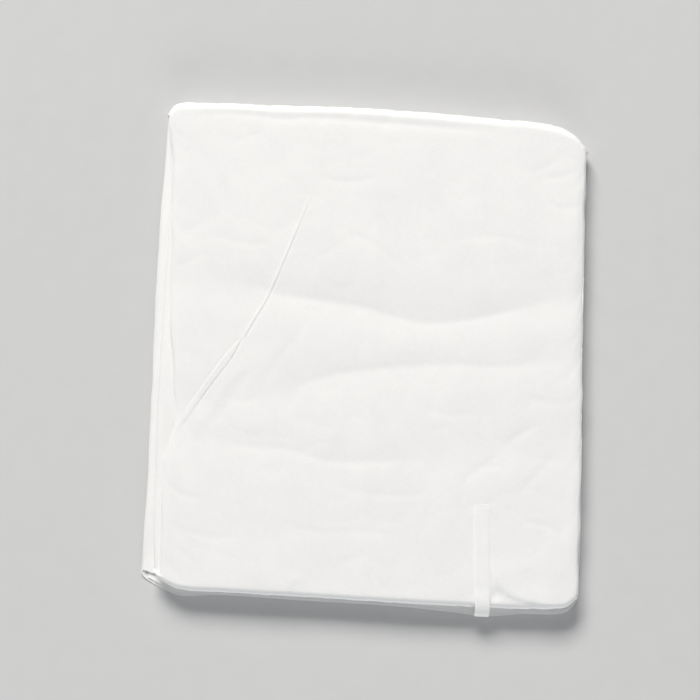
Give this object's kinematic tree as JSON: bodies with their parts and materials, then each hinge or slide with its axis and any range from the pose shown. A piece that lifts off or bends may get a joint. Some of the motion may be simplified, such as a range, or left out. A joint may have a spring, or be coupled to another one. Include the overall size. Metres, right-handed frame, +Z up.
{
  "type": "folded isolation gown",
  "caption": "White coated nonwoven isolation gown folded into a flat rectangular packet, with stepped side folds, rolled cross folds and a waist tie over its lower edge.",
  "frame": {"origin": "middle of the packet's underside, on the surface it lies on", "axes": "+Z up; +Y along the packet's long side, towards the wide upper turn; +X towards the side with the waist tie"},
  "size_m": [0.311, 0.3612, 0.0177],
  "materials": {
    "gown_cloth": "matt white spunbond nonwoven with a fine pattern of bond points and a thin coated side",
    "inner_plies": "the same white nonwoven in shade between the plies",
    "tie_cloth": "smooth white nonwoven tape with pressed edges and a welded root"
  },
  "bodies": {
    "root": {"front_panel": "gown_cloth", "folded_core": "inner_plies", "back_panel_left": "gown_cloth", "back_panel_right": "gown_cloth", "waist_tie_right": "tie_cloth"}
  },
  "joints": []
}
